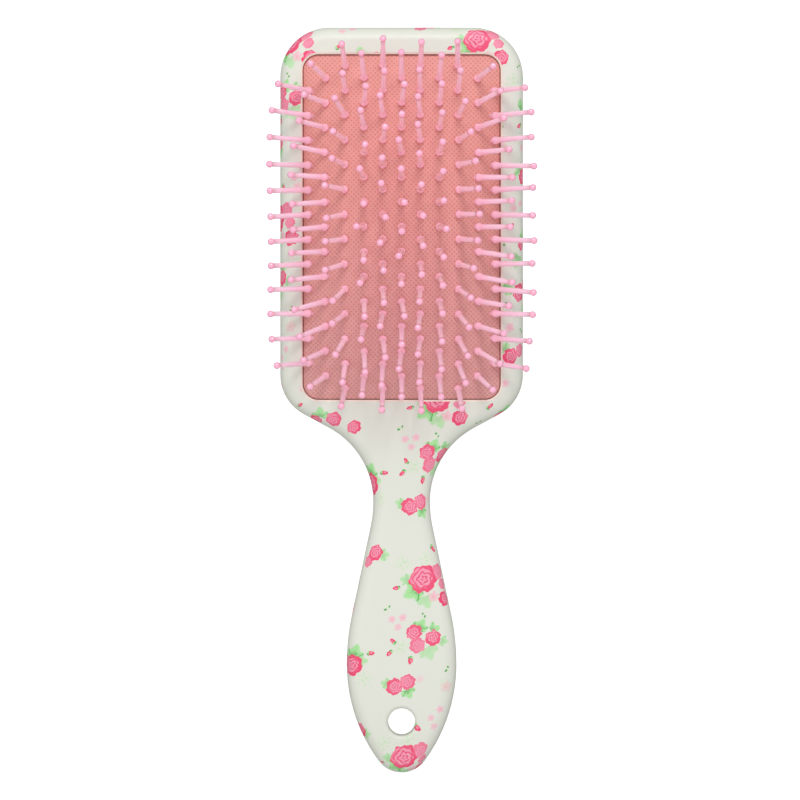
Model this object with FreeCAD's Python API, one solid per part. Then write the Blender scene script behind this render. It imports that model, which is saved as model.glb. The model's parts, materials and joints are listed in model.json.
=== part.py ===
import FreeCAD, Part
import math
import os

from FreeCAD import Vector

# A cushioned paddle hairbrush, lying on its flat back with its pins up. Millimetres.
# The origin is on the flat back, on the centre line at half the brush's length.
# +Z points out through the pins, +Y to the head's end, and the handle runs to -Y.

# Paddle, outline
LENGTH = 250.0
HEAD_WIDTH = 81.4
HEAD_CORNER_R = 16.5
HEAD_LOWER_R = 15.0
HEAD_LOWER_Y = 8.5
NECK_WIDTH = 19.0
NECK_Y = -34.0
NECK_UPPER_R = 28.0
NECK_LOWER_R = 40.0
GRIP_WIDTH = 36.8
GRIP_Y = -88.5
GRIP_UPPER_R = 80.0
TIP_R = 9.5

# Paddle, thickness
HEAD_THICKNESS = 12.0
NECK_THICKNESS = 11.2
GRIP_THICKNESS = 13.4
GRIP_PEAK_Y = GRIP_Y + 6
TIP_THICKNESS = 9.6
HEAD_FLAT_END_Y = -8.0
EDGE_R = 4.4

# Hanging hole
HANG_HOLE_R = 4.6
HANG_HOLE_Y = -107.8
HANG_HOLE_EDGE_R = 1.2
HANG_HOLE_SEAM_TURN = 20.0

# Opening for the cushion, with the air pocket behind it and the groove for its rim
OPENING_WIDTH = 66.4
OPENING_LENGTH = 115.8
OPENING_CORNER_R = 5.4
OPENING_Y = 58.0
OPENING_CHAMFER = 0.6
POCKET_FLOOR = 3.0
GROOVE_DEPTH = 1.6
GROOVE_HEIGHT = 1.8
LIP_THICKNESS = 1.5

# Cushion
RIM_CLEARANCE = 0.1
CUSHION_EDGE_GAP = 0.3
CUSHION_THICKNESS = 1.6
DOME_HEIGHT = 8.0
DOME_POWER_X = 3.2
DOME_POWER_Y = 2.3
DOME_STEPS_X = 24
DOME_STEPS_Y = 36
VENT_R = 0.9
VENT_X = 0.7
VENT_ROWS_BELOW_CENTRE = 3.5

# Pins
COLUMN_PITCH = 6.28
OUTER_COLUMN = 5
OUTER_COLUMN_X = 30.5
ROW_PITCH = 8.27
PINS_IN_COLUMN = {0: 13, 1: 14, 2: 13, 3: 14, 4: 13, 5: 12}
PIN_EXPOSED = 20.2
PIN_ROOT = 2.4
PIN_BALL_R = 1.15
PIN_NECK_R = 0.72
PIN_SHANK_R = 0.92
PIN_BASE_R = 1.2
PIN_BULB_LENGTH = 1.2
PIN_FLARE_LENGTH = 2.6
PIN_FOOT_R = 1.8
PIN_FOOT_THICKNESS = 0.6
PIN_HOLE_R = PIN_BASE_R + 0.06

# The pins' fan, as slopes at the cushion's edges and shares of its half width. The sideways lean
# starts a little off the centre line. The outer columns keep it nearly to the end rows, and the
# inner ones lose it sooner. The fan's middle lies above the opening's, and higher in the outer columns.
FAN_SLOPE_X = 1.02
FAN_SLOPE_Y = 0.51
FAN_MIDDLE_Y = 9.0
FAN_MIDDLE_RISE = 18.0
FAN_START_X = 0.24
FAN_FULL_X = 1.02
FAN_HOLD_X = 6.0
LEAN_SCATTER = 0.05

# Worked out from the above
HALF_LENGTH = LENGTH / 2
GROOVE_TOP = HEAD_THICKNESS - LIP_THICKNESS
GROOVE_BOTTOM = GROOVE_TOP - GROOVE_HEIGHT
RIM_TOP = GROOVE_TOP - RIM_CLEARANCE
RIM_BOTTOM = GROOVE_BOTTOM + RIM_CLEARANCE
CUSHION_WIDTH = OPENING_WIDTH - 2 * CUSHION_EDGE_GAP
CUSHION_LENGTH = OPENING_LENGTH - 2 * CUSHION_EDGE_GAP
CUSHION_CORNER_R = OPENING_CORNER_R - CUSHION_EDGE_GAP
ABOVE_EVERYTHING = 60.0


def tangent_between(start, end):
    """The line that leaves one directed circle and joins the next one.

    A circle is (centre, radius), with a positive radius where the path turns clockwise.
    """
    (centre_a, radius_a), (centre_b, radius_b) = start, end
    gap = centre_b - centre_a
    sine = max(-1.0, min(1.0, (radius_b - radius_a) / gap.Length))
    heading = math.atan2(gap.y, gap.x) + math.asin(sine)
    right = Vector(math.sin(heading), -math.cos(heading), 0)
    return centre_a - right * radius_a, centre_b - right * radius_b


def arc_edge(centre, start, end):
    """The shorter arc about a centre from start to end."""
    middle = (start - centre) + (end - centre)
    middle.normalize()
    return Part.Arc(start, centre + middle * (start - centre).Length, end).toShape()


def paddle_outline():
    """The paddle's outline: arcs joined by tangent lines down one side, then mirrored."""
    half_head = HEAD_WIDTH / 2
    half_neck = NECK_WIDTH / 2
    half_grip = GRIP_WIDTH / 2
    tip_centre_y = TIP_R - HALF_LENGTH
    tip_rise = GRIP_Y - tip_centre_y
    grip_lower_r = (half_grip ** 2 + tip_rise ** 2 - TIP_R ** 2) / (2 * (half_grip - TIP_R))
    circles = [
        (Vector(half_head - HEAD_CORNER_R, HALF_LENGTH - HEAD_CORNER_R, 0), HEAD_CORNER_R),
        (Vector(half_head - HEAD_LOWER_R, HEAD_LOWER_Y, 0), HEAD_LOWER_R),
        (Vector(half_neck + NECK_UPPER_R, NECK_Y, 0), -NECK_UPPER_R),
        (Vector(half_neck + NECK_LOWER_R, NECK_Y, 0), -NECK_LOWER_R),
        (Vector(half_grip - GRIP_UPPER_R, GRIP_Y, 0), GRIP_UPPER_R),
        (Vector(half_grip - grip_lower_r, GRIP_Y, 0), grip_lower_r),
        (Vector(0, tip_centre_y, 0), TIP_R),
    ]
    top = Vector(0, HALF_LENGTH, 0)
    arrive = Vector(half_head - HEAD_CORNER_R, HALF_LENGTH, 0)
    side = [Part.LineSegment(top, arrive).toShape()]
    for circle, following in zip(circles, circles[1:]):
        leave, next_arrive = tangent_between(circle, following)
        side.append(arc_edge(circle[0], arrive, leave))
        if (next_arrive - leave).Length > 0.01:
            side.append(Part.LineSegment(leave, next_arrive).toShape())
        arrive = next_arrive
    side.append(arc_edge(circles[-1][0], arrive, Vector(0, -HALF_LENGTH, 0)))
    mirrored = [edge.mirror(Vector(0, 0, 0), Vector(1, 0, 0)) for edge in side]
    return Part.Wire(Part.sortEdges(side + mirrored)[0])


def side_profile():
    """The paddle seen from the side: a flat back, and a front that swells at the grip."""
    head_end = Vector(0, HEAD_FLAT_END_Y, HEAD_THICKNESS)
    tip = Vector(0, -HALF_LENGTH - 1, TIP_THICKNESS)
    front = Part.BSplineCurve()
    front.interpolate(
        [
            head_end,
            Vector(0, NECK_Y, NECK_THICKNESS),
            Vector(0, GRIP_PEAK_Y, GRIP_THICKNESS),
            tip,
        ],
        InitialTangent=Vector(0, -1, 0),
        FinalTangent=Vector(0, -1, -0.22),
    )
    head_top = Vector(0, HALF_LENGTH + 1, HEAD_THICKNESS)
    corners = [tip, Vector(0, tip.y, 0), Vector(0, head_top.y, 0), head_top, head_end]
    straight = [Part.LineSegment(a, b).toShape() for a, b in zip(corners, corners[1:])]
    return Part.Wire(Part.sortEdges([front.toShape()] + straight)[0])


def rounded_rectangle(width, length, corner_r, z):
    """A rounded rectangle about the opening's centre, at height z."""
    x, y = width / 2, length / 2
    centres = [(x, y, 0), (-x, y, 90), (-x, -y, 180), (x, -y, 270)]
    arcs = []
    for cx, cy, start in centres:
        centre = Vector(
            cx - math.copysign(corner_r, cx), OPENING_Y + cy - math.copysign(corner_r, cy), z
        )
        arcs.append(Part.makeCircle(corner_r, centre, Vector(0, 0, 1), start, start + 90))
    edges = []
    for arc, following in zip(arcs, arcs[1:] + arcs[:1]):
        edges.append(arc)
        edges.append(Part.makeLine(arc.Vertexes[-1].Point, following.Vertexes[0].Point))
    return Part.Wire(edges)


def rounded_slab(width, length, corner_r, bottom, top):
    """A flat slab with rounded corners, from bottom to top."""
    face = Part.Face(rounded_rectangle(width, length, corner_r, bottom))
    return face.extrude(Vector(0, 0, top - bottom))


def grown_slab(growth, bottom, top):
    """A slab of the opening's outline, grown all round."""
    return rounded_slab(
        OPENING_WIDTH + 2 * growth,
        OPENING_LENGTH + 2 * growth,
        OPENING_CORNER_R + growth,
        bottom,
        top,
    )


def opening_chamfer():
    """The bevel round the front edge of the opening."""
    low = HEAD_THICKNESS - OPENING_CHAMFER
    wires = []
    for growth, z in ((0, low), (2 * OPENING_CHAMFER, HEAD_THICKNESS + OPENING_CHAMFER)):
        wires.append(
            rounded_rectangle(
                OPENING_WIDTH + 2 * growth, OPENING_LENGTH + 2 * growth, OPENING_CORNER_R + growth, z
            )
        )
    return Part.makeLoft(wires, True, True)


def paddle_body():
    """The one-piece moulding: head, neck and handle."""
    blank = Part.Face(paddle_outline()).extrude(Vector(0, 0, ABOVE_EVERYTHING))
    profile = Part.Face(side_profile()).extrude(Vector(HEAD_WIDTH + 2, 0, 0))
    profile.translate(Vector(-HEAD_WIDTH / 2 - 1, 0, 0))
    body = blank.common(profile).removeSplitter().Solids[0]
    level = [edge for edge in body.Edges if not is_upright(edge)]
    body = body.makeFillet(EDGE_R, level)
    hole = Part.makeCylinder(HANG_HOLE_R, ABOVE_EVERYTHING, Vector(0, HANG_HOLE_Y, -1))
    hole.rotate(Vector(0, HANG_HOLE_Y, 0), Vector(0, 0, 1), HANG_HOLE_SEAM_TURN)
    body = body.cut(hole)
    rims = [edge for edge in body.Edges if is_hang_hole_rim(edge)]
    body = body.makeFillet(HANG_HOLE_EDGE_R, rims)
    body = body.cut(grown_slab(0, POCKET_FLOOR, ABOVE_EVERYTHING))
    body = body.cut(grown_slab(GROOVE_DEPTH, GROOVE_BOTTOM, GROOVE_TOP))
    return body.cut(opening_chamfer())


def is_upright(edge):
    """Whether an edge runs straight up through the paddle's thickness."""
    box = edge.BoundBox
    return box.XLength < 0.01 and box.YLength < 0.01


def is_hang_hole_rim(edge):
    """Whether an edge is one of the hanging hole's two rims."""
    box = edge.BoundBox
    round_the_hole = abs(box.Center.y - HANG_HOLE_Y) < 0.5 and abs(box.Center.x) < 0.5
    return round_the_hole and abs(box.XLength - 2 * HANG_HOLE_R) < 0.1


def swell(offset, half_size, power):
    """How far the dome has risen, from 0 at its edge to 1 on the centre line."""
    return 1 - min(1.0, abs(offset) / half_size) ** power


def dome_height(x, y):
    """The cushion's height over its rim, at x and y from the opening's centre."""
    rise_x = swell(x, CUSHION_WIDTH / 2, DOME_POWER_X)
    rise_y = swell(y, CUSHION_LENGTH / 2, DOME_POWER_Y)
    return DOME_HEIGHT * rise_x * rise_y


def under_dome(lowered):
    """Everything under the cushion's domed skin, or under the skin moved down."""
    columns = []
    for i in range(DOME_STEPS_X + 1):
        x = CUSHION_WIDTH * (i / DOME_STEPS_X - 0.5)
        column = []
        for j in range(DOME_STEPS_Y + 1):
            y = CUSHION_LENGTH * (j / DOME_STEPS_Y - 0.5)
            column.append(Vector(x, OPENING_Y + y, RIM_TOP + dome_height(x, y) - lowered))
        columns.append(column)
    skin = Part.BSplineSurface()
    skin.interpolate(columns)
    return skin.toShape().extrude(Vector(0, 0, -ABOVE_EVERYTHING))


def cushion(pins):
    """The rubber cushion: a domed skin with a flange round its rim, and a hole for each pin."""
    wall = 2 * CUSHION_THICKNESS
    outer = rounded_slab(
        CUSHION_WIDTH, CUSHION_LENGTH, CUSHION_CORNER_R, RIM_BOTTOM, ABOVE_EVERYTHING
    ).common(under_dome(0))
    hollow = rounded_slab(
        CUSHION_WIDTH - wall, CUSHION_LENGTH - wall, CUSHION_CORNER_R - wall / 2, 0, ABOVE_EVERYTHING
    ).common(under_dome(CUSHION_THICKNESS))
    reach = GROOVE_DEPTH - 2 * RIM_CLEARANCE
    flange = grown_slab(reach, RIM_BOTTOM, RIM_TOP).cut(grown_slab(-2 * CUSHION_EDGE_GAP, 0, RIM_TOP + 1))
    body = outer.fuse(flange).cut(hollow)
    holes = [pin_hole(pin) for pin in pins]
    vent_y = OPENING_Y - VENT_ROWS_BELOW_CENTRE * ROW_PITCH
    holes.append(Part.makeCylinder(VENT_R, ABOVE_EVERYTHING, Vector(VENT_X, vent_y, 0)))
    return body.cut(holes).removeSplitter().Solids[0]


def scatter(column, row, turn):
    """A small repeatable unevenness between -1 and 1 for one pin."""
    return math.sin(12.9 * column + 4.7 * row + 2.3 * turn + 0.8 * column * row)


def column_x(column):
    """How far a column of pins stands from the centre line."""
    if abs(column) == OUTER_COLUMN:
        return math.copysign(OUTER_COLUMN_X, column)
    return column * COLUMN_PITCH


def pin_places():
    """Each pin's column, row, place on the cushion's skin, and direction."""
    pins = []
    for column in range(-OUTER_COLUMN, OUTER_COLUMN + 1):
        count = PINS_IN_COLUMN[abs(column)]
        for row in range(count):
            x = column_x(column)
            y = (row - (count - 1) / 2) * ROW_PITCH
            foot = Vector(x, OPENING_Y + y, RIM_TOP + dome_height(x, y))
            pins.append((column, row, foot, pin_direction(column, row, x, y)))
    return pins


def pin_direction(column, row, x, y):
    """The way a pin points: out from the fan's middle, more so near the cushion's edges."""
    share_x = abs(x) / (CUSHION_WIDTH / 2)
    share_y = abs(y) / (CUSHION_LENGTH / 2)
    build_up = max(0.0, (share_x - FAN_START_X) / (FAN_FULL_X - FAN_START_X))
    eased = build_up ** 2 * (3 - 2 * build_up)
    held = 1 - share_y ** (FAN_HOLD_X * share_x ** 3)
    slope_x = math.copysign(FAN_SLOPE_X * eased * held, x)
    middle_y = FAN_MIDDLE_Y + FAN_MIDDLE_RISE * share_x ** 4
    reach = CUSHION_LENGTH / 2 - math.copysign(middle_y, y - middle_y)
    slope_y = FAN_SLOPE_Y * (y - middle_y) / reach * (1 - share_x ** DOME_POWER_X)
    direction = Vector(
        slope_x + LEAN_SCATTER * scatter(column, row, 0),
        slope_y + LEAN_SCATTER * scatter(column, row, 1),
        1,
    )
    return direction.normalize()


def pin_hole(pin):
    """The hole that one pin passes through, along its own direction."""
    place, direction = pin[2], pin[3]
    return Part.makeCylinder(PIN_HOLE_R, 3 * PIN_ROOT, place - direction * 2 * PIN_ROOT, direction)


def pin_solid():
    """One pin standing at the origin: a foot disc, a bulb at the skin, a tapered shank and a ball tip."""
    ball_z = PIN_EXPOSED - PIN_BALL_R
    neck_z = ball_z - math.sqrt(PIN_BALL_R ** 2 - PIN_NECK_R ** 2)
    side = [
        Vector(0, 0, -PIN_ROOT - PIN_FOOT_THICKNESS),
        Vector(PIN_FOOT_R, 0, -PIN_ROOT - PIN_FOOT_THICKNESS),
        Vector(PIN_FOOT_R, 0, -PIN_ROOT),
        Vector(PIN_BASE_R, 0, -PIN_ROOT),
        Vector(PIN_BASE_R, 0, PIN_BULB_LENGTH),
        Vector(PIN_SHANK_R, 0, PIN_BULB_LENGTH + PIN_FLARE_LENGTH),
        Vector(PIN_NECK_R, 0, neck_z),
    ]
    top = Vector(0, 0, PIN_EXPOSED)
    edges = [Part.makeLine(a, b) for a, b in zip(side, side[1:])]
    edges.append(Part.Arc(side[-1], Vector(PIN_BALL_R, 0, ball_z), top).toShape())
    edges.append(Part.makeLine(top, side[0]))
    return Part.Face(Part.Wire(edges)).revolve(Vector(0, 0, 0), Vector(0, 0, 1), 360)


def placed_pin(model, pin):
    """A copy of the pin, standing at its place along its direction."""
    copy = model.copy()
    copy.Placement = FreeCAD.Placement(pin[2], FreeCAD.Rotation(Vector(0, 0, 1), pin[3]))
    return copy


def column_name(column):
    """A column's name, counted from the middle as seen from the front."""
    if column == 0:
        return "centre"
    return f"{'left' if column < 0 else 'right'}_{abs(column)}"


def pin_groups(pins):
    """The pins of each column in three groups: lower, middle and upper."""
    model = pin_solid()
    groups = {}
    for pin in pins:
        column, row = pin[0], pin[1]
        third = ("lower", "middle", "upper")[3 * row // PINS_IN_COLUMN[abs(column)]]
        groups.setdefault(f"pins_{column_name(column)}_{third}", []).append(placed_pin(model, pin))
    return {name: Part.makeCompound(solids) for name, solids in groups.items()}


def main():
    os.makedirs("parts", exist_ok=True)
    pins = pin_places()
    nodes = {"paddle_body": paddle_body(), "cushion": cushion(pins)}
    nodes.update(pin_groups(pins))
    for name, shape in nodes.items():
        shape.exportStep(f"parts/{name}.step")
        print(name, len(shape.Solids), "solids", shape.isValid(), round(shape.Volume, 1), "mm3")


main()
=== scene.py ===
import json
import math

import bmesh
import bpy
import numpy as np
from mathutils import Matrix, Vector


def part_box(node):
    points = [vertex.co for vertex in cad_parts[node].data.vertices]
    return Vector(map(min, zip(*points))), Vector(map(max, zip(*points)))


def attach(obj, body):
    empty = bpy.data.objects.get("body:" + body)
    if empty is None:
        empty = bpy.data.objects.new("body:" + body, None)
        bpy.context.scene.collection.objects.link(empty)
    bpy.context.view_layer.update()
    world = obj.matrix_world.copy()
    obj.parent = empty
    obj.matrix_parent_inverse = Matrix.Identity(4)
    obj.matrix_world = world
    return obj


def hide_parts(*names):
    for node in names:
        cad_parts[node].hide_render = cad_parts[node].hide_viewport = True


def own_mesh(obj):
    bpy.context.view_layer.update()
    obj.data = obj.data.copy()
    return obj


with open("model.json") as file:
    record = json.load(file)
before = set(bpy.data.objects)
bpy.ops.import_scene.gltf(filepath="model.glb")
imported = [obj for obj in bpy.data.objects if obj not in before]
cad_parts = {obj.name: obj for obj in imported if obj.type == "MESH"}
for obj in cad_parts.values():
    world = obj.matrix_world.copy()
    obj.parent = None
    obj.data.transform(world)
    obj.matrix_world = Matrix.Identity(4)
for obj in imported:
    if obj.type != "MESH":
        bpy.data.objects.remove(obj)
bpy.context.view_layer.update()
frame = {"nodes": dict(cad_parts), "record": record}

MM = 0.001

# Cushion, as in the CAD model, but with a narrower gap round it: VISIBLE_GAP in place of EDGE_GAP.
# Its skin has the vent hole, and the pins pass through it without holes.
FLANGE_REACH = 1.4 * MM
EDGE_GAP = 0.3 * MM
VISIBLE_GAP = 0.08 * MM
OPENING_CORNER_R = 5.4 * MM
OPENING_CHAMFER = 0.6 * MM
CUSHION_THICKNESS = 1.6 * MM
DOME_POWER_X = 3.2
DOME_POWER_Y = 2.3
CUSHION_STEP = 0.55 * MM
DIMPLE_PITCH = 1.6 * MM
VENT_R = 0.9 * MM
VENT_X = 0.7 * MM
VENT_BELOW_CENTRE = 28.94 * MM
VENT_CUT_DEPTH = 20 * MM

# Pins, as long as in the CAD model, but fuller in the shank, bulb and ball
PIN_EXPOSED = 20.2 * MM
PIN_FOOT_R = 1.8 * MM
PIN_FOOT_THICKNESS = 0.6 * MM
PIN_ROOT_R = 1.1 * MM
PIN_ROOT_BELOW_SKIN = 0.3 * MM
PIN_BULB_R = 1.38 * MM
PIN_BULB_RISE = 1.25 * MM
PIN_SHANK_R = 0.97 * MM
PIN_NECK_R = 0.8 * MM
PIN_FLARE_LENGTH = 2.2 * MM
PIN_BALL_R = 1.16 * MM
PIN_SIDES = 20

# Film print: one tile repeats along the brush, and each row of tiles steps sideways. The film has
# also slipped sideways over the neck.
TILE = (64 * MM, 60.3 * MM)
TILE_STEP = 6.4 * MM
NECK_DRIFT = 2.0 * MM
NECK_DRIFT_START_Y = -48 * MM
NECK_DRIFT_FULL_Y = -28 * MM
HEAD_START_Y = -8 * MM
HEAD_FULL_Y = 6 * MM
HEAD_DRIFT_LOSS = 0.5
FILM_FOLD_DEPTH = 1.4 * MM
FILM_RUFFLE = 0.7 * MM
FILM_RUFFLE_SCALE = 900.0
PRINT_ORIGIN = (7.3 * MM, -59.9 * MM)
PALE_IN_Z = 0.02

# Colours, linear
IVORY = (0.76, 0.77, 0.69)
PETAL_HOT = (0.86, 0.05, 0.16)
PETAL_LIGHT = (0.92, 0.33, 0.46)
PETAL_DEEP = (0.58, 0.035, 0.10)
BLOSSOM_PINK = (0.90, 0.52, 0.60)
LEAF_LIGHT = (0.38, 0.76, 0.32)
LEAF_DARK = (0.10, 0.40, 0.10)
GHOST_GREEN = (0.68, 0.77, 0.56)
SALMON = (0.86, 0.36, 0.32)
# Painted shade: the cushion's skin browner towards the handle, away from the light
SALMON_PAINTED_SHADE = (0.77, 0.39, 0.37)
# Random mottle of the rubber, and painted shade in its dimples
SALMON_MOTTLE_AND_DIMPLE_SHADE = (0.50, 0.15, 0.13)
# Painted shade in the narrow gap round the cushion's rim
RIM_GAP_SHADE = (0.40, 0.10, 0.08)
# Painted highlight on the opening's chamfer, where the print stops
CHAMFER_HIGHLIGHT = (0.97, 0.92, 0.80)
NYLON_PINK = (0.96, 0.64, 0.78)
NYLON_BASE = (0.96, 0.50, 0.64)
NYLON_PALE = (0.98, 0.79, 0.87)
NYLON_BALL = (0.95, 0.43, 0.59)

# Surround
WHITE = (1.0, 1.0, 1.0)
DARK_SURROUND = (0.3, 0.33, 0.3)
SURROUND_STRENGTH = 0.66
HORIZON_EXTRA = 0.35
FLOOR_HALF_SIZE = 6.0
FLOOR_BELOW = 0.02 * MM
FLOOR_GREY = (0.4, 0.4, 0.4)
FLOOR_ROUGHNESS = 0.9
FLOOR_GLOW = 0.9

# Lights: place and target in metres, side in metres and power in watts
KEY_LIGHT = ((0.1, 0.95, 1.15), (0.0, 0.02, 0.0), 0.55, 7.5)
FILL_LIGHT = ((-0.5, -0.2, 1.3), (0.0, 0.0, 0.0), 1.2, 3.0)

# Camera
CAMERA_X = -0.54 * MM
CAMERA_Y = 0.05 * MM
VIEW_DISTANCE = 2.5
FRAME_HEIGHT = 268.6 * MM
SENSOR = 36.0
SILHOUETTE_Z = 6 * MM


class Field:
    """A number that varies over a surface. Python's operators on it make math nodes."""

    def __init__(self, tree, socket):
        self.tree = tree
        self.socket = socket

    def math(self, operation, *others):
        node = self.tree.nodes.new("ShaderNodeMath")
        node.operation = operation
        for slot, value in zip(node.inputs, (self, *others)):
            feed(self.tree, slot, value)
        return Field(self.tree, node.outputs[0])

    def __add__(self, other):
        return self.math("ADD", other)

    def __sub__(self, other):
        return self.math("SUBTRACT", other)

    def __rsub__(self, other):
        return (self * -1.0) + other

    def __mul__(self, other):
        return self.math("MULTIPLY", other)

    def __truediv__(self, other):
        return self.math("DIVIDE", other)

    __radd__ = __add__
    __rmul__ = __mul__

    def sin(self):
        return self.math("SINE")

    def cos(self):
        return self.math("COSINE")

    def fract(self):
        return self.math("FRACT")

    def abs(self):
        return self.math("ABSOLUTE")

    def max(self, other):
        return self.math("MAXIMUM", other)

    def min(self, other):
        return self.math("MINIMUM", other)

    def ramp(self, low, high):
        """0 up to low, 1 from high, and smooth between. low may be the larger of the two."""
        node = self.tree.nodes.new("ShaderNodeMapRange")
        node.interpolation_type = "SMOOTHSTEP"
        feed(self.tree, node.inputs["Value"], self)
        feed(self.tree, node.inputs["From Min"], low)
        feed(self.tree, node.inputs["From Max"], high)
        return Field(self.tree, node.outputs["Result"])


def feed(tree, slot, value):
    """Links a field or socket to a slot, or sets the slot to a plain value."""
    if isinstance(value, Field):
        tree.links.new(value.socket, slot)
    elif isinstance(value, bpy.types.NodeSocket):
        tree.links.new(value, slot)
    elif isinstance(value, tuple) and slot.type == "RGBA":
        slot.default_value = (*value, 1.0)
    else:
        slot.default_value = value


def mix(tree, share, first, second):
    """The colour from first, at a share of 0, to second, at 1."""
    node = tree.nodes.new("ShaderNodeMix")
    node.data_type = "RGBA"
    feed(tree, node.inputs[0], share)
    feed(tree, node.inputs[6], first)
    feed(tree, node.inputs[7], second)
    return node.outputs[2]


def vector_math(tree, operation, *values):
    """One vector math node's output."""
    node = tree.nodes.new("ShaderNodeVectorMath")
    node.operation = operation
    for slot, value in zip(node.inputs, values):
        feed(tree, slot, value)
    return node.outputs["Vector"]


def parts_of(tree, vector):
    """A vector's x, y and z as fields."""
    node = tree.nodes.new("ShaderNodeSeparateXYZ")
    feed(tree, node.inputs[0], vector)
    return [Field(tree, socket) for socket in node.outputs]


def noise(tree, vector, scale, detail=2.0, colour=False):
    """Noise in three dimensions: a field, or a colour of three fields."""
    node = tree.nodes.new("ShaderNodeTexNoise")
    feed(tree, node.inputs["Vector"], vector)
    node.inputs["Scale"].default_value = scale
    node.inputs["Detail"].default_value = detail
    return node.outputs["Color"] if colour else Field(tree, node.outputs["Fac"])


def polar(x, y):
    """Distance from the middle, and the angle round it."""
    return (x * x + y * y).math("SQRT"), y.math("ARCTAN2", x)


def draw_rose(tree, x, y, pale):
    """A full rose: ruffled hot-pink outside, and paler petals that spiral in."""
    r, turn = polar(x, y)
    edge = 0.95 + (turn * 6.0 + 0.7).sin() * 0.06 + (turn * 11.0 + 2.0).sin() * 0.035
    ruffle = (turn * 5.0 + r * 3.0).sin() * 0.2 + (turn * 9.0 + 1.0).sin() * 0.08
    spiral = (r * 3.4 + turn / (2 * math.pi) + ruffle).fract()
    folds = spiral.ramp(0.45, 0.8)
    rim = (r / edge + (x * 0.5 - y * 0.3) * 0.35).ramp(0.62, 0.86)
    hot = folds.max(rim) * (1.0 - pale * 0.6)
    petals = mix(tree, hot, PETAL_LIGHT, PETAL_HOT)
    heart = spiral.ramp(0.8, 0.95) * r.ramp(0.8, 0.3)
    return mix(tree, heart * 0.7, petals, PETAL_DEEP), r.ramp(edge + 0.05, edge - 0.03)


def draw_foliage(tree, x, y, pale):
    """Three leaflets that spread from one stalk, with darker veins."""
    cover = None
    veins = None
    for angle, length in ((-0.95, 0.8), (0.0, 1.0), (0.95, 0.85)):
        along = (x + 0.9) * math.cos(angle) + y * math.sin(angle)
        across = y * math.cos(angle) - (x + 0.9) * math.sin(angle)
        share = along / (1.75 * length)
        width = share * (1.0 - share) * 2.5 + (share * 24.0).sin() * 0.025
        leaflet = across.abs().ramp(width + 0.06, width - 0.28) * share.ramp(0.0, 0.08)
        vein = across.abs().ramp(0.1, 0.02) * leaflet
        barbs = ((along * 7.0 - across.abs() * 5.0).sin()).ramp(0.5, 0.9) * leaflet * 0.8
        veins = vein.max(barbs) if veins is None else veins.max(vein.max(barbs))
        cover = leaflet if cover is None else cover.max(leaflet)
    dark = veins * x.ramp(0.3, -0.5) * (1.0 - pale)
    return mix(tree, dark, LEAF_LIGHT, LEAF_DARK), cover * (1.0 - pale * 0.45)


def draw_blossom(tree, x, y, pale):
    """A faded five-petalled blossom with a deeper middle."""
    r, turn = polar(x, y)
    edge = (turn * 2.5).cos().abs() * 0.28 + 0.62
    middle = r.ramp(0.42, 0.05)
    cover = r.ramp(edge + 0.16, edge - 0.22) * (0.85 - pale * 0.5)
    return mix(tree, middle * 0.75, BLOSSOM_PINK, PETAL_LIGHT), cover


def draw_bud(tree, x, y, pale):
    """A pointed bud on green sepals."""
    width = (1.0 - x * x * 0.8) * 0.52
    body = (y / width).abs().ramp(1.05, 0.85) * x.ramp(-0.5, -0.4) * x.ramp(0.95, 0.85)
    sepals = ((x + 0.55) * (x + 0.55) * 5.0 + y * y * 2.6).ramp(1.05, 0.7)
    shine = ((x - 0.1) * (x - 0.1) * 7.0 + (y - 0.12) * (y - 0.12) * 16.0).ramp(1.0, 0.3)
    petals = mix(tree, shine * 0.8, PETAL_HOT, PETAL_LIGHT)
    greens = mix(tree, (x + y).ramp(-0.5, -0.9), LEAF_LIGHT, LEAF_DARK)
    return mix(tree, body, greens, petals), body.max(sepals * (1.0 - pale * 0.5))


def draw_sprig(tree, x, y, pale):
    """Two small dark leaves with a pale mist of green round them."""
    r, _ = polar(x, y)
    one = ((x - 0.4) * (x - 0.4) * 14.0 + (y - 0.25) * (y - 0.25) * 8.0).ramp(1.0, 0.4)
    two = ((x + 0.35) * (x + 0.35) * 8.0 + (y + 0.2) * (y + 0.2) * 14.0).ramp(1.0, 0.4)
    leaves = one.max(two) * (1.0 - pale)
    return mix(tree, leaves, GHOST_GREEN, LEAF_DARK), leaves.max(r.ramp(1.0, 0.2) * 0.5)


def draw_mist(tree, x, y, pale):
    """A faint patch of out-of-focus stems and seed heads."""
    r, turn = polar(x, y)
    seeds = ((x * 9.0).sin() * (y * 8.0 + x * 3.0).sin()).ramp(0.25, 0.8)
    stems = ((turn * 4.0 + r * 2.0).sin()).ramp(0.75, 1.0)
    marks = seeds.max(stems * 0.7)
    return mix(tree, marks, GHOST_GREEN, LEAF_LIGHT), r.ramp(1.0, 0.3) * (marks * 0.35 + 0.22)


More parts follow.
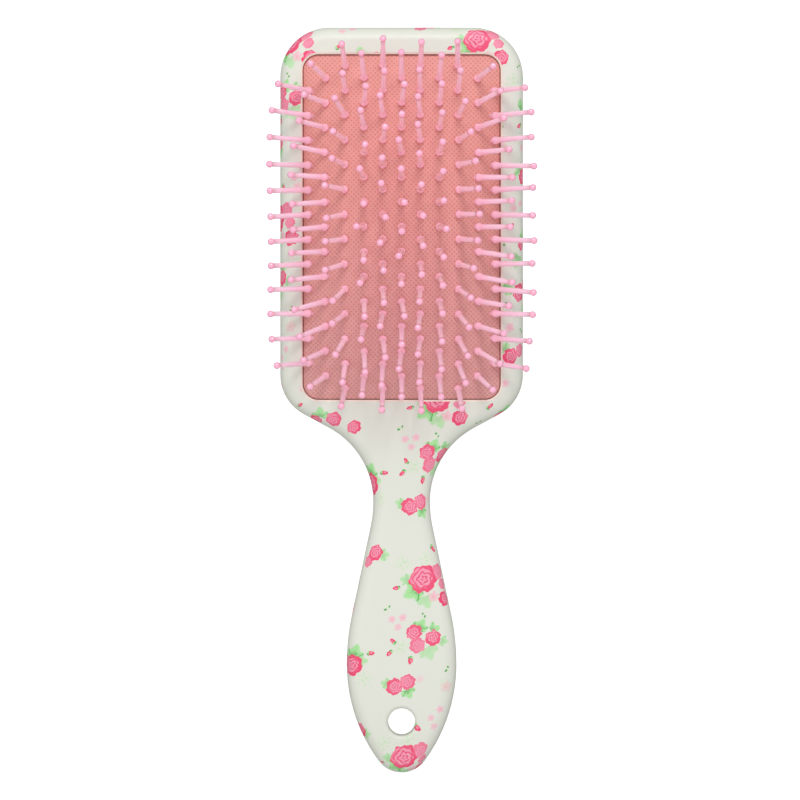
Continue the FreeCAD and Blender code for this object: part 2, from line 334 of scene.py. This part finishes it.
# The tile's motifs: places in millimetres from the large rose, then radius, turn and paleness.
# Later kinds lie over earlier ones.
PRINT = {
    "mist": [
        (-7.0, 5.2, 3.4, 0, 0.0),
        (1.0, 6.8, 3.2, 80, 0.0),
        (-7.6, -22.8, 3.2, 30, 0.0),
        (-19.8, -33.5, 3.2, 0, 0.0),
        (7.4, -35.5, 3.0, 40, 0.0),
        (12.0, -14.0, 3.4, 60, 0.0),
    ],
    "foliage": [
        (-4.2, -4.6, 3.6, 215, 0.0),
        (1.2, -8.0, 2.7, 290, 0.7),
        (-6.6, -0.2, 1.9, 175, 0.5),
        (-0.6, -15.0, 2.4, 70, 0.0),
        (4.2, -16.6, 2.2, 20, 0.2),
        (2.1, -25.2, 2.9, 300, 0.8),
        (7.2, -20.9, 1.6, 350, 0.5),
        (-22.7, -23.9, 3.0, 75, 0.0),
        (-20.1, -27.4, 2.0, 5, 0.5),
        (-13.2, -34.8, 1.6, 165, 0.4),
        (-4.8, -38.6, 2.1, 300, 0.1),
        (-19.0, -52.2, 1.8, 10, 0.5),
        (24.6, -4.5, 2.6, 100, 0.2),
        (19.8, -14.6, 2.8, 250, 0.4),
        (17.2, -22.4, 2.6, 30, 0.1),
        (26.4, -31.2, 3.0, 280, 0.5),
        (14.0, -43.0, 2.4, 140, 0.3),
    ],
    "blossom": [
        (3.4, -5.8, 2.1, 20, 0.0),
        (-10.5, -13.5, 1.5, 0, 0.0),
        (-6.9, -12.9, 1.6, 30, 0.0),
        (-8.5, -16.1, 1.5, 65, 0.1),
        (-1.1, -33.5, 1.7, 0, 0.9),
        (7.6, -36.0, 2.3, 15, 0.7),
        (5.6, -43.6, 1.5, 40, 0.0),
        (2.6, -46.5, 1.4, 10, 0.1),
        (3.6, -49.4, 1.5, 70, 0.2),
        (18.6, 3.6, 1.7, 0, 0.2),
        (22.0, 5.2, 1.5, 30, 0.0),
        (17.2, -36.4, 1.8, 50, 0.1),
    ],
    "sprig": [
        (-12.1, -9.8, 1.7, 10, 0.0),
        (0.2, -12.1, 1.5, 100, 0.0),
        (7.9, -30.1, 1.6, 40, 0.0),
        (14.6, -9.0, 1.6, 0, 0.0),
        (22.6, -37.4, 1.7, 120, 0.0),
    ],
    "bud": [
        (-9.1, -3.0, 1.3, 185, 0.0),
        (-10.2, -20.8, 1.3, 130, 0.0),
        (-11.4, -24.8, 1.4, 230, 0.0),
        (-4.4, -27.2, 1.6, 270, 0.0),
        (-17.6, -24.8, 1.4, 0, 0.0),
        (-2.2, -49.8, 1.7, 320, 0.0),
        (17.5, -2.5, 1.4, 45, 0.0),
        (15.0, -29.0, 1.5, 200, 0.0),
        (27.0, -50.4, 1.5, 90, 0.0),
    ],
    "rose": [
        (0.0, 0.0, 4.8, 0, 0.1),
        (5.6, 2.8, 2.8, 140, 0.9),
        (7.2, -1.3, 2.0, 60, 0.9),
        (7.7, -6.3, 2.7, 250, 0.0),
        (-2.1, -22.2, 2.7, 200, 0.7),
        (-3.1, -17.8, 2.7, 90, 0.2),
        (3.2, -19.7, 2.7, 320, 0.1),
        (-23.9, -28.9, 3.6, 30, 0.0),
        (-27.6, -27.2, 2.2, 250, 0.6),
        (-5.3, -34.5, 2.7, 20, 0.5),
        (-9.7, -36.0, 2.9, 200, 0.15),
        (-25.6, -54.2, 2.1, 80, 0.5),
        (-22.8, -51.5, 2.8, 300, 0.0),
        (29.4, -7.1, 2.8, 10, 0.3),
        (-27.6, -9.4, 2.4, 30, 0.1),
        (22.8, -8.3, 2.3, 190, 0.2),
        (21.4, -24.6, 3.2, 70, 0.1),
        (25.9, -22.4, 2.6, 170, 0.8),
        (17.4, -46.0, 2.7, 240, 0.0),
        (21.6, -44.0, 2.3, 20, 0.7),
    ],
}


def motif_place(tree, place, x, y, size, turn, pale):
    """A place on the film in one motif's own unit circle, with its paleness as a small z."""
    skew = TILE_STEP / TILE[1]
    centre_x = PRINT_ORIGIN[0] + x * MM
    centre_y = PRINT_ORIGIN[1] + y * MM
    offset = vector_math(tree, "SUBTRACT", place, (centre_x - skew * centre_y, centre_y, 0.0))
    half = (TILE[0] / 2, TILE[1] / 2, 1.0)
    wrapped = vector_math(tree, "WRAP", offset, half, (-half[0], -half[1], -1.0))
    local = tree.nodes.new("ShaderNodeMapping")
    local.vector_type = "TEXTURE"
    feed(tree, local.inputs["Vector"], wrapped)
    local.inputs["Location"].default_value = (0.0, 0.0, -pale * PALE_IN_Z)
    local.inputs["Rotation"].default_value = (0.0, 0.0, math.radians(turn))
    local.inputs["Scale"].default_value = (size * MM, size * MM, 1.0)
    return local.outputs["Vector"]


def nearest_motif(tree, place, motifs):
    """The place in the unit circle of whichever motif is nearest for its size."""
    chosen = motif_place(tree, place, *motifs[0])
    least = length_of(tree, chosen)
    for entry in motifs[1:]:
        local = motif_place(tree, place, *entry)
        distance = length_of(tree, local)
        closer = distance.math("LESS_THAN", least)
        least = least.min(distance)
        choice = tree.nodes.new("ShaderNodeMix")
        choice.data_type = "VECTOR"
        feed(tree, choice.inputs[0], closer)
        feed(tree, choice.inputs[4], chosen)
        feed(tree, choice.inputs[5], local)
        chosen = choice.outputs[1]
    return chosen


def length_of(tree, vector):
    """A vector's length as a field."""
    node = tree.nodes.new("ShaderNodeVectorMath")
    node.operation = "LENGTH"
    feed(tree, node.inputs[0], vector)
    return Field(tree, node.outputs["Value"])


def print_place(tree):
    """Where each point of the paddle lies on the flat film, which wraps over the edges."""
    coordinates = tree.nodes.new("ShaderNodeTexCoord")
    place = coordinates.outputs["Object"]
    x, y, z = parts_of(tree, place)
    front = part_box("paddle_body")[1].z - FILM_FOLD_DEPTH
    depth = (front - z).max(0.0)
    out_x, out_y, _ = parts_of(tree, coordinates.outputs["Normal"])
    x = x + out_x * depth
    y = y + out_y * depth
    ruffle = noise(tree, place, FILM_RUFFLE_SCALE, 1.0, colour=True)
    ruffle_x, ruffle_y, _ = parts_of(tree, ruffle)
    x = x + (ruffle_x - 0.5) * FILM_RUFFLE
    y = y + (ruffle_y - 0.5) * FILM_RUFFLE
    on_head = y.ramp(HEAD_START_Y, HEAD_FULL_Y)
    slipped = y.ramp(NECK_DRIFT_START_Y, NECK_DRIFT_FULL_Y) * (1.0 - on_head * HEAD_DRIFT_LOSS)
    x = x + slipped * NECK_DRIFT
    joined = tree.nodes.new("ShaderNodeCombineXYZ")
    feed(tree, joined.inputs[0], x - y * (TILE_STEP / TILE[1]))
    feed(tree, joined.inputs[1], y)
    return joined.outputs[0]


def out_of_opening(tree, x, y):
    """How far a point lies outside the opening's outline in the paddle; inside it is negative."""
    centre, half_x, half_y, _, _, _ = cushion_frame()
    over_x = x.abs() - (half_x + EDGE_GAP - OPENING_CORNER_R)
    over_y = (y - centre.y).abs() - (half_y + EDGE_GAP - OPENING_CORNER_R)
    corner, _ = polar(over_x.max(0.0), over_y.max(0.0))
    return corner + over_x.max(over_y).min(0.0) - OPENING_CORNER_R


def new_material(name):
    """A node material with only its Principled shader, and that shader."""
    material = bpy.data.materials.new(name)
    material.use_nodes = True
    return material, material.node_tree, material.node_tree.nodes["Principled BSDF"]


def set_bump(tree, shader, height, strength, distance):
    """Bump from a height field."""
    bump = tree.nodes.new("ShaderNodeBump")
    feed(tree, bump.inputs["Height"], height)
    bump.inputs["Strength"].default_value = strength
    bump.inputs["Distance"].default_value = distance
    feed(tree, shader.inputs["Normal"], bump.outputs["Normal"])


def printed_plastic():
    """Ivory plastic under a floral film and clear lacquer, with a painted highlight on the opening's
    chamfer.
    """
    drawings = {
        "mist": draw_mist,
        "foliage": draw_foliage,
        "blossom": draw_blossom,
        "sprig": draw_sprig,
        "bud": draw_bud,
        "rose": draw_rose,
    }
    material, tree, shader = new_material("printed_plastic")
    place = print_place(tree)
    wide = noise(tree, place, 28.0, 1.0)
    colour = mix(tree, wide, IVORY, tuple(c * f for c, f in zip(IVORY, (0.97, 0.985, 0.97))))
    for kind, motifs in PRINT.items():
        x, y, z = parts_of(tree, nearest_motif(tree, place, motifs))
        ink, cover = drawings[kind](tree, x, y, z / PALE_IN_Z)
        colour = mix(tree, cover, colour, ink)
    x, y, z = parts_of(tree, tree.nodes.new("ShaderNodeTexCoord").outputs["Object"])
    # Painted highlight: a cream band on the opening's chamfer, lighter than the ivory plastic, where the
    # print also stops.
    chamfer_highlight = out_of_opening(tree, x, y).ramp(OPENING_CHAMFER + 0.05 * MM, OPENING_CHAMFER - 0.1 * MM)
    top_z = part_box("paddle_body")[1].z
    on_front = z.ramp(top_z * 0.6, top_z * 0.7)
    feed(tree, shader.inputs["Base Color"], mix(tree, chamfer_highlight * on_front, colour, CHAMFER_HIGHLIGHT))
    lacquer = noise(tree, place, 160.0, 2.0)
    feed(tree, shader.inputs["Roughness"], lacquer * 0.08 + 0.42)
    shader.inputs["Coat Weight"].default_value = 0.12
    shader.inputs["Coat Roughness"].default_value = 0.2
    set_bump(tree, shader, noise(tree, place, 220.0, 1.0), 0.05, 0.3 * MM)
    return material


def cushion_rubber():
    """Salmon rubber with a fine lattice of dimples and a random mottle, with painted shade: browner
    towards the handle, darker in the dimples and dark at its rim.
    """
    material, tree, shader = new_material("cushion_rubber")
    coordinates = tree.nodes.new("ShaderNodeTexCoord")
    x, y, _ = parts_of(tree, coordinates.outputs["Object"])
    wave = 2 * math.pi / DIMPLE_PITCH
    lattice = (x * wave).cos() * (y * wave).cos()
    dimples = lattice.ramp(0.25, 0.9)
    mottle = noise(tree, coordinates.outputs["Object"], 260.0, 3.0)
    centre, _, half_y, _, _, _ = cushion_frame()
    # Painted shade: the skin turns browner towards the handle, where the dome faces away from the light.
    skin = mix(tree, y.ramp(centre.y + half_y * 0.6, centre.y - half_y), SALMON, SALMON_PAINTED_SHADE)
    skin = mix(tree, mottle * 0.3, skin, SALMON_MOTTLE_AND_DIMPLE_SHADE)
    # The dimples are painted darker, as painted shade in their hollows; the mottle above is the rubber's
    # own random tone.
    skin = mix(tree, dimples * 0.5, skin, SALMON_MOTTLE_AND_DIMPLE_SHADE)
    # Painted shade: a dark band along the cushion's rim, where the narrow gap to the paddle lies in
    # shade.
    rim_gap_shade = out_of_opening(tree, x, y).ramp(-0.5 * MM, -0.2 * MM)
    feed(tree, shader.inputs["Base Color"], mix(tree, rim_gap_shade, skin, RIM_GAP_SHADE))
    feed(tree, shader.inputs["Roughness"], mottle * 0.15 + 0.5)
    shader.inputs["Sheen Weight"].default_value = 0.15
    shader.inputs["Sheen Roughness"].default_value = 0.5
    set_bump(tree, shader, (1.0 - dimples) + mottle * 0.15, 0.6, 0.25 * MM)
    return material


def pin_nylon():
    """Pink, faintly translucent nylon, duller towards the pin's base. A faint painted glow, though the
    pins are no lamp, adds to that.
    """
    material, tree, shader = new_material("pin_nylon")
    along = tree.nodes.new("ShaderNodeAttribute")
    along.attribute_name = "along"
    share = Field(tree, along.outputs["Fac"])
    coordinates = tree.nodes.new("ShaderNodeTexCoord")
    cloud = noise(tree, coordinates.outputs["Object"], 160.0, 1.0)
    tint = mix(tree, share.ramp(0.12, 0.5), NYLON_BASE, NYLON_PINK)
    tint = mix(tree, cloud * 0.25, tint, NYLON_PALE)
    tint = mix(tree, share.ramp(0.9, 0.93), tint, NYLON_BALL)
    feed(tree, shader.inputs["Base Color"], tint)
    feed(tree, shader.inputs["Roughness"], cloud * 0.06 + 0.14)
    # Painted glow: the pins give out a little light of their own colour.
    feed(tree, shader.inputs["Emission Color"], tint)
    shader.inputs["Emission Strength"].default_value = 0.1
    shader.inputs["Subsurface Weight"].default_value = 0.5
    shader.inputs["Subsurface Radius"].default_value = (1.0, 0.6, 0.75)
    shader.inputs["Subsurface Scale"].default_value = 1.5 * MM
    shader.inputs["Specular IOR Level"].default_value = 0.8
    shader.inputs["Coat Weight"].default_value = 1.0
    shader.inputs["Coat Roughness"].default_value = 0.06
    return material


def new_piece(name, mesh, material):
    """A mesh object in the scene, smooth shaded."""
    piece = bpy.data.objects.new(name, mesh)
    bpy.context.scene.collection.objects.link(piece)
    mesh.materials.append(material)
    for polygon in mesh.polygons:
        polygon.use_smooth = True
    return piece


def cushion_frame():
    """The opening's centre, the cushion's half sizes and its rim and dome heights."""
    low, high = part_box("cushion")
    centre = (low + high) / 2
    half_x = (high.x - low.x) / 2 - FLANGE_REACH - EDGE_GAP
    half_y = (high.y - low.y) / 2 - FLANGE_REACH - EDGE_GAP
    rim_top = low.z + CUSHION_THICKNESS
    return centre, half_x, half_y, low.z, rim_top, high.z - rim_top


def rounded_place(u, v, half_x, half_y, corner_r):
    """A point of the unit square's grid, moved into a rectangle with rounded corners."""
    x, y = u * half_x, v * half_y
    over_x = abs(x) - (half_x - corner_r)
    over_y = abs(y) - (half_y - corner_r)
    if over_x > 0 and over_y > 0:
        reach = max(over_x, over_y)
        distance = math.hypot(over_x, over_y)
        shrink = reach / distance
        x = math.copysign(half_x - corner_r + over_x * shrink, x)
        y = math.copysign(half_y - corner_r + over_y * shrink, y)
    return x, y


def build_cushion(material):
    """The domed rubber skin: a crowned top, a rolled edge, a side wall and a hollow underside."""
    centre, half_x, half_y, bottom, rim, dome = cushion_frame()
    half_x += EDGE_GAP - VISIBLE_GAP
    half_y += EDGE_GAP - VISIBLE_GAP
    count_x = round(2 * half_x / CUSHION_STEP)
    count_y = round(2 * half_y / CUSHION_STEP)
    corner = OPENING_CORNER_R - VISIBLE_GAP
    mesh = bmesh.new()

    def height(x, y):
        swell_x = 1 - min(1.0, abs(x) / half_x) ** DOME_POWER_X
        swell_y = 1 - min(1.0, abs(y) / half_y) ** DOME_POWER_Y
        return rim + dome * swell_x * swell_y

    def skin(inset, drop):
        rows = []
        for j in range(count_y + 1):
            row = []
            for i in range(count_x + 1):
                u, v = 2 * i / count_x - 1, 2 * j / count_y - 1
                x, y = rounded_place(u, v, half_x - inset, half_y - inset, corner - inset)
                z = height(x, y) - drop
                row.append(mesh.verts.new((centre.x + x, centre.y + y, z)))
            rows.append(row)
        return rows

    def border(rows):
        lower = rows[0][:-1]
        right = [row[-1] for row in rows[:-1]]
        upper = rows[-1][:0:-1]
        left = [row[0] for row in rows[:0:-1]]
        return lower + right + upper + left

    def bridge(first, second):
        for k in range(len(first)):
            following = (k + 1) % len(first)
            mesh.faces.new((first[k], second[k], second[following], first[following]))

    top = skin(0.0, 0.0)
    under = skin(CUSHION_THICKNESS, CUSHION_THICKNESS)
    for rows, order in ((top, 1), (under, -1)):
        for lower, upper in zip(rows, rows[1:]):
            for i in range(count_x):
                quad = (lower[i], lower[i + 1], upper[i + 1], upper[i])
                mesh.faces.new(quad[::order])
    outer, inner = border(top), border(under)
    feet = []
    for ring, floor_z in ((outer, bottom), (inner, bottom)):
        feet.append([mesh.verts.new((vert.co.x, vert.co.y, floor_z)) for vert in ring])
    bridge(outer, feet[0])
    bridge(feet[0], feet[1])
    bridge(feet[1], inner)
    data = bpy.data.meshes.new("rubber_cushion")
    mesh.to_mesh(data)
    mesh.free()
    piece = new_piece("rubber_cushion", data, material)
    cut_vent(piece, centre, rim + dome)
    return piece


def cut_vent(piece, centre, top_z):
    """Cuts the air vent through the cushion's skin near its centre line."""
    place = (VENT_X, centre.y - VENT_BELOW_CENTRE, top_z)
    bpy.ops.mesh.primitive_cylinder_add(
        vertices=32, radius=VENT_R, depth=VENT_CUT_DEPTH, location=place
    )
    cutter = bpy.context.object
    cut = piece.modifiers.new("vent", "BOOLEAN")
    cut.operation = "DIFFERENCE"
    cut.solver = "EXACT"
    cut.object = cutter
    evaluated = piece.evaluated_get(bpy.context.evaluated_depsgraph_get())
    piece.data = bpy.data.meshes.new_from_object(evaluated)
    piece.modifiers.clear()
    bpy.data.objects.remove(cutter)


def islands(node):
    """The vertex positions of each separate pin in a CAD node."""
    mesh = bmesh.new()
    mesh.from_mesh(node.data)
    bmesh.ops.remove_doubles(mesh, verts=mesh.verts, dist=0.001 * MM)
    left = set(mesh.verts)
    found = []
    while left:
        reached = [left.pop()]
        points = []
        while reached:
            vert = reached.pop()
            points.append(tuple(vert.co))
            for edge in vert.link_edges:
                other = edge.other_vert(vert)
                if other in left:
                    left.remove(other)
                    reached.append(other)
        found.append(np.array(points))
    mesh.free()
    return found


def pin_axis(points):
    """A pin's foot centre, direction and length, from its surface points."""
    middle = points.mean(axis=0)
    direction = np.linalg.svd(points - middle, full_matrices=False)[2][0]
    direction *= math.copysign(1.0, direction[2])
    along = (points - middle) @ direction
    foot = points[along < along.min() + 0.05 * MM].mean(axis=0)
    tip = points[np.argmax(along)]
    axis = tip - foot
    length = float(np.linalg.norm(axis))
    return Vector(foot), Vector(axis / length), length


def pin_profile(length):
    """A pin's rings, as distance from the foot and radius: foot disc, root, bulb, shank and ball."""
    base = length - PIN_EXPOSED
    bulb = base + PIN_BULB_RISE
    ball = length - PIN_BALL_R
    neck = ball - math.sqrt(PIN_BALL_R ** 2 - PIN_NECK_R ** 2)
    rings = [
        (0.0, PIN_FOOT_R * 0.9),
        (0.1 * MM, PIN_FOOT_R),
        (PIN_FOOT_THICKNESS, PIN_FOOT_R),
        (PIN_FOOT_THICKNESS, PIN_ROOT_R),
        (base - PIN_ROOT_BELOW_SKIN, PIN_ROOT_R),
    ]
    for degrees in range(-55, 10, 15):
        turn = math.radians(degrees)
        rings.append((bulb + PIN_BULB_R * math.sin(turn), PIN_BULB_R * math.cos(turn)))
    for i in range(1, 6):
        flare = 0.5 + 0.5 * math.cos(math.pi * i / 5)
        rings.append((bulb + PIN_FLARE_LENGTH * i / 5, PIN_SHANK_R + (PIN_BULB_R - PIN_SHANK_R) * flare))
    start = bulb + PIN_FLARE_LENGTH
    for i in range(1, 7):
        share = i / 6
        rings.append((start + (neck - start) * share, PIN_SHANK_R + (PIN_NECK_R - PIN_SHANK_R) * share))
    low = math.asin((neck - ball) / PIN_BALL_R)
    for i in range(1, 11):
        turn = low + (math.pi / 2 - low) * i / 11
        rings.append((ball + PIN_BALL_R * math.sin(turn), PIN_BALL_R * math.cos(turn)))
    return rings


def add_pin(mesh, foot, axis, length):
    """Adds one turned pin to a mesh."""
    along_layer = mesh.verts.layers.float["along"]
    turn = axis.to_track_quat("Z", "Y").to_matrix()

    def vert(distance, radius, angle):
        local = Vector((radius * math.cos(angle), radius * math.sin(angle), distance))
        made = mesh.verts.new(foot + turn @ local)
        made[along_layer] = distance / length
        return made

    rings = [
        [vert(distance, radius, 2 * math.pi * k / PIN_SIDES) for k in range(PIN_SIDES)]
        for distance, radius in pin_profile(length)
    ]
    bottom, tip = vert(0.0, 0.0, 0.0), vert(length, 0.0, 0.0)
    for k in range(PIN_SIDES):
        following = (k + 1) % PIN_SIDES
        mesh.faces.new((bottom, rings[0][following], rings[0][k]))
        mesh.faces.new((tip, rings[-1][k], rings[-1][following]))
        for lower, upper in zip(rings, rings[1:]):
            mesh.faces.new((lower[k], lower[following], upper[following], upper[k]))


def build_pins(name, material):
    """The turned pins that stand for one CAD node."""
    mesh = bmesh.new()
    mesh.verts.layers.float.new("along")
    for points in islands(frame["nodes"][name]):
        add_pin(mesh, *pin_axis(points))
    data = bpy.data.meshes.new(name.replace("pins", "nylon_pins"))
    mesh.to_mesh(data)
    mesh.free()
    return new_piece(data.name, data, material)


def dress_object():
    """Gives every piece of the brush its mesh and material."""
    paddle = frame["nodes"]["paddle_body"]
    paddle.material_slots[0].material = printed_plastic()

    cushion = build_cushion(cushion_rubber())
    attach(cushion, "paddle")
    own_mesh(cushion)
    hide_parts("cushion")

    nylon = pin_nylon()
    for body, nodes in frame["record"]["behaviour"]["bodies"].items():
        for node in nodes:
            if node.startswith("pins_"):
                pins = build_pins(node, nylon)
                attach(pins, body)
                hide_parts(node)


def build_floor():
    """A plain white floor that glows a little, and throws no light back on the brush."""
    material, _, shader = new_material("floor")
    shader.inputs["Base Color"].default_value = (*FLOOR_GREY, 1.0)
    shader.inputs["Roughness"].default_value = FLOOR_ROUGHNESS
    shader.inputs["Specular IOR Level"].default_value = 0.0
    shader.inputs["Emission Color"].default_value = (*WHITE, 1.0)
    shader.inputs["Emission Strength"].default_value = FLOOR_GLOW
    data = bpy.data.meshes.new("floor")
    size = FLOOR_HALF_SIZE
    data.from_pydata(
        [(-size, -size, 0), (size, -size, 0), (size, size, 0), (-size, size, 0)], [], [(0, 1, 2, 3)]
    )
    floor = new_piece("floor", data, material)
    floor.location.z = -FLOOR_BELOW
    floor.visible_diffuse = False
    floor.visible_glossy = False


def add_light(name, place, target, size, power):
    """A square soft box that points at a target."""
    data = bpy.data.lights.new(name, "AREA")
    data.shape = "SQUARE"
    data.size = size
    data.energy = power
    light = bpy.data.objects.new(name, data)
    light.location = place
    light.rotation_euler = (Vector(target) - Vector(place)).to_track_quat("-Z", "Y").to_euler()
    bpy.context.scene.collection.objects.link(light)


def build_studio():
    """Soft light from above and from the head's end, in a surround brightest at the horizon."""
    world = bpy.data.worlds.new("studio")
    world.use_nodes = True
    tree = world.node_tree
    background = tree.nodes["Background"]
    direction = tree.nodes.new("ShaderNodeTexCoord")
    _, _, up = parts_of(tree, direction.outputs["Generated"])
    feed(tree, background.inputs["Color"], mix(tree, up.ramp(-0.6, 0.3), DARK_SURROUND, WHITE))
    horizon = up.ramp(-0.08, 0.0) * up.ramp(0.3, 0.05)
    feed(tree, background.inputs["Strength"], horizon * HORIZON_EXTRA + SURROUND_STRENGTH)
    bpy.context.scene.world = world
    add_light("key", *KEY_LIGHT)
    add_light("fill", *FILL_LIGHT)
    bpy.context.scene.view_settings.view_transform = "Standard"


def build_camera():
    """A long lens straight above the brush, with the head's end up."""
    data = bpy.data.cameras.new("camera")
    data.sensor_width = SENSOR
    data.lens = SENSOR * VIEW_DISTANCE / FRAME_HEIGHT
    camera = bpy.data.objects.new("camera", data)
    camera.location = (CAMERA_X, CAMERA_Y, SILHOUETTE_Z + VIEW_DISTANCE)
    bpy.context.scene.collection.objects.link(camera)
    bpy.context.scene.camera = camera


build_camera()
build_studio()
build_floor()
dress_object()
